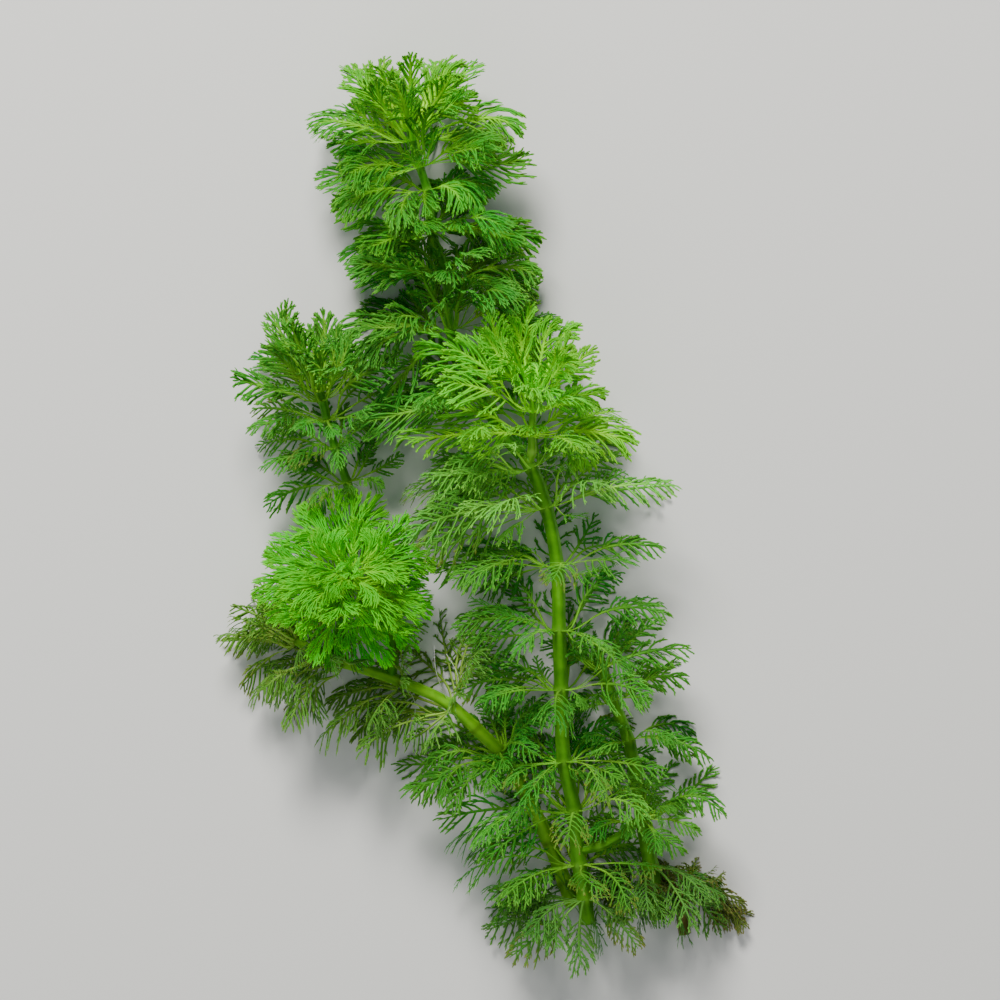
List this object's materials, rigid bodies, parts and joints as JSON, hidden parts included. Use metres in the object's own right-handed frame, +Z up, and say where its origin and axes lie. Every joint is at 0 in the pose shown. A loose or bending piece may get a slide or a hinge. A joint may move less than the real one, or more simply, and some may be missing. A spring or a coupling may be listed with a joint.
{
  "type": "limnophila",
  "caption": "Bunch of an underwater stem plant, cut and lying down, with whorls of finely divided green leaves.",
  "frame": {"origin": "on the surface that the plant lies on, below the middle of its length and width", "axes": "+Z up, away from the surface; +Y along the stems towards the highest shoot tip; +X to the right as seen in the picture"},
  "size_m": [0.1354, 0.2304, 0.0533],
  "materials": {
    "stem": "smooth, slightly waxy yellow-green stem",
    "leaf": "soft satin mid-green leaf",
    "young_leaf": "soft satin light green young leaf",
    "bright_leaf": "soft satin vivid green young leaf",
    "shade_leaf": "soft satin dark green leaf",
    "old_leaf": "dull olive-brown old leaf"
  },
  "bodies": {
    "root": {"main_stem": "stem", "tall_stem": "stem", "side_branch": "stem", "left_stem": "stem", "left_shoot": "stem", "crown_shoot": "stem", "right_stem": "stem", "low_shoot": "stem", "old_stub": "stem", "main_whorl_1": "shade_leaf", "main_whorl_2": "leaf", "main_whorl_3": "leaf", "main_whorl_4": "leaf", "main_whorl_5": "leaf", "main_whorl_6": "leaf", "main_whorl_7": "leaf", "main_whorl_8": "leaf", "main_whorl_9": "leaf", "side_whorl_1": "young_leaf", "side_whorl_2": "young_leaf", "side_crown": "young_leaf", "tall_whorl_1": "young_leaf", "tall_whorl_2": "young_leaf", "tall_whorl_3": "young_leaf", "tall_whorl_4": "young_leaf", "tall_whorl_5": "young_leaf", "tall_whorl_6": "young_leaf", "tall_crown_1": "young_leaf", "tall_crown_2": "young_leaf", "left_whorl_1": "leaf", "left_whorl_2": "leaf", "left_whorl_3": "leaf", "left_whorl_4": "leaf", "left_whorl_5": "shade_leaf", "left_tip_whorl": "shade_leaf", "shoot_whorl_1": "leaf", "shoot_whorl_2": "leaf", "shoot_whorl_3": "leaf", "shoot_crown_1": "young_leaf", "shoot_crown_2": "young_leaf", "bright_whorl_1": "leaf", "bright_whorl_2": "bright_leaf", "bright_whorl_3": "bright_leaf", "bright_crown": "bright_leaf", "right_whorl_1": "shade_leaf", "right_whorl_2": "leaf", "right_whorl_3": "leaf", "right_whorl_4": "leaf", "right_crown": "leaf", "low_whorl": "leaf", "old_whorl": "old_leaf"}
  },
  "joints": []
}
